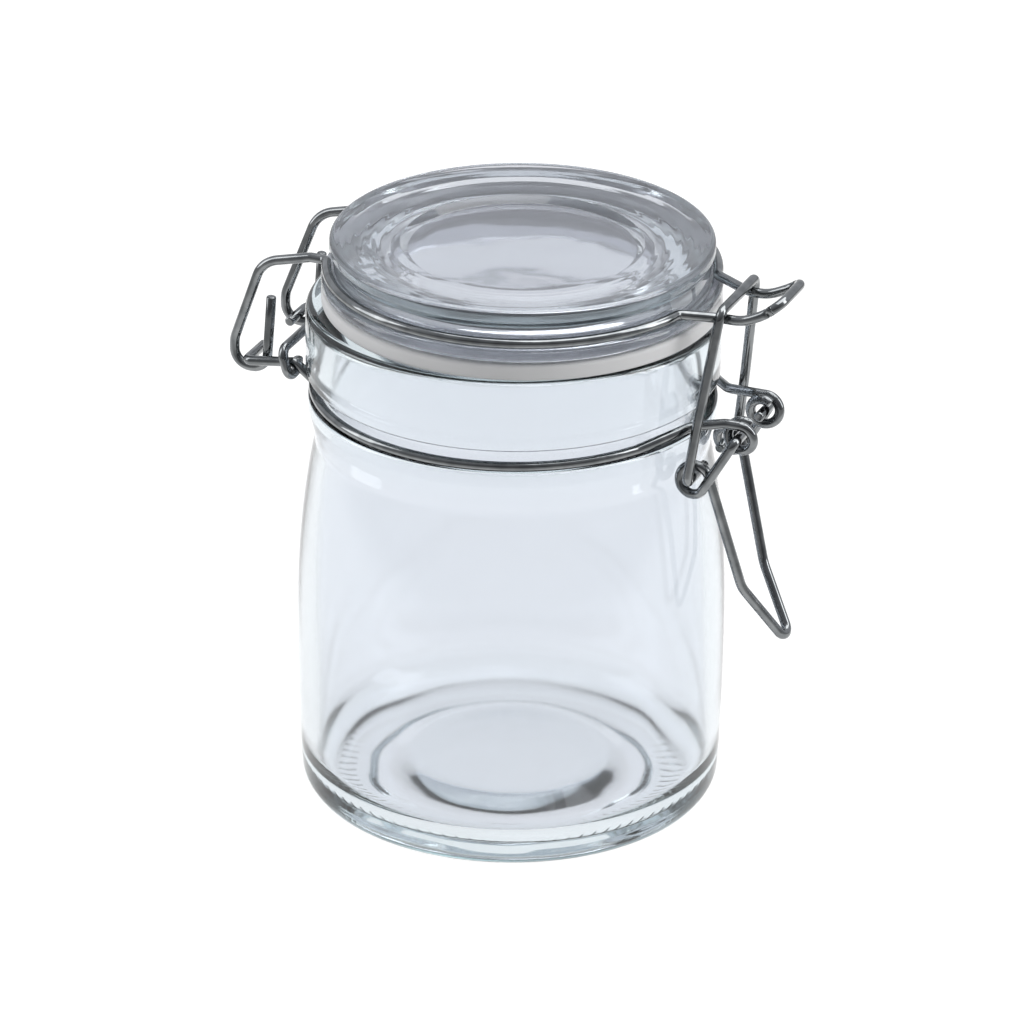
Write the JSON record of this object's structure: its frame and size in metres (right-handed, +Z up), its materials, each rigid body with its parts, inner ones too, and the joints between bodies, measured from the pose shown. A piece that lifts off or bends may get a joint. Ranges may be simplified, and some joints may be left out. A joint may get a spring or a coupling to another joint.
{
  "type": "swing-top glass jar",
  "caption": "Swing-top preserving jar: round glass body, domed glass lid on a rubber ring, held shut by an over-centre wire bail latch.",
  "frame": {"origin": "centre of the object's box, at the jar's foot", "axes": "+Z up along the jar, +X towards the latch, -X towards the hinge, the jar's mirror plane on Y = 0"},
  "size_m": [0.1164, 0.0864, 0.12],
  "materials": {
    "body_glass": "clear pressed glass with a faint blue-green tint in its thick edges",
    "lid_glass": "clear pressed glass, slightly wavy",
    "gasket_rubber": "translucent grey rubber, satin",
    "lid_wire_steel": "bright plated steel wire",
    "neck_wire_near_steel": "bright plated steel wire",
    "neck_wire_far_steel": "bright plated steel wire",
    "rear_tie_steel": "bright plated steel wire",
    "link_steel": "bright plated steel wire",
    "lever_steel": "bright plated steel wire"
  },
  "bodies": {
    "jar": {"jar_body": "body_glass", "neck_wire_near": "neck_wire_near_steel", "neck_wire_far": "neck_wire_far_steel", "rear_tie_wire": "rear_tie_steel"},
    "lid": {"glass_lid": "lid_glass", "gasket_ring": "gasket_rubber", "lid_wire": "lid_wire_steel"},
    "lever": {"lever_wire": "lever_steel"},
    "link": {"link_wire": "link_steel"}
  },
  "joints": [
    {"name": "lid_hinge", "type": "hinge", "parent": "jar", "child": "lid", "pos_m": [-0.05365, 0, 0.08935], "axis": [0, -1, 0], "range_deg": [0, 200]},
    {"name": "lever_pivot", "type": "hinge", "parent": "jar", "child": "lever", "pos_m": [0.04925, 0, 0.0881], "axis": [0, -1, 0], "range_deg": [0, 90], "deforming": ["link_wire"]},
    {"name": "link_pivot", "type": "hinge", "parent": "lever", "child": "link", "pos_m": [0.04085, 0, 0.0794], "axis": [0, -1, 0], "range_deg": [-135, 0]}
  ],
  "couplings": [
    {"joint": "link_pivot", "follows": "lever_pivot", "ratio": -1.5}
  ]
}
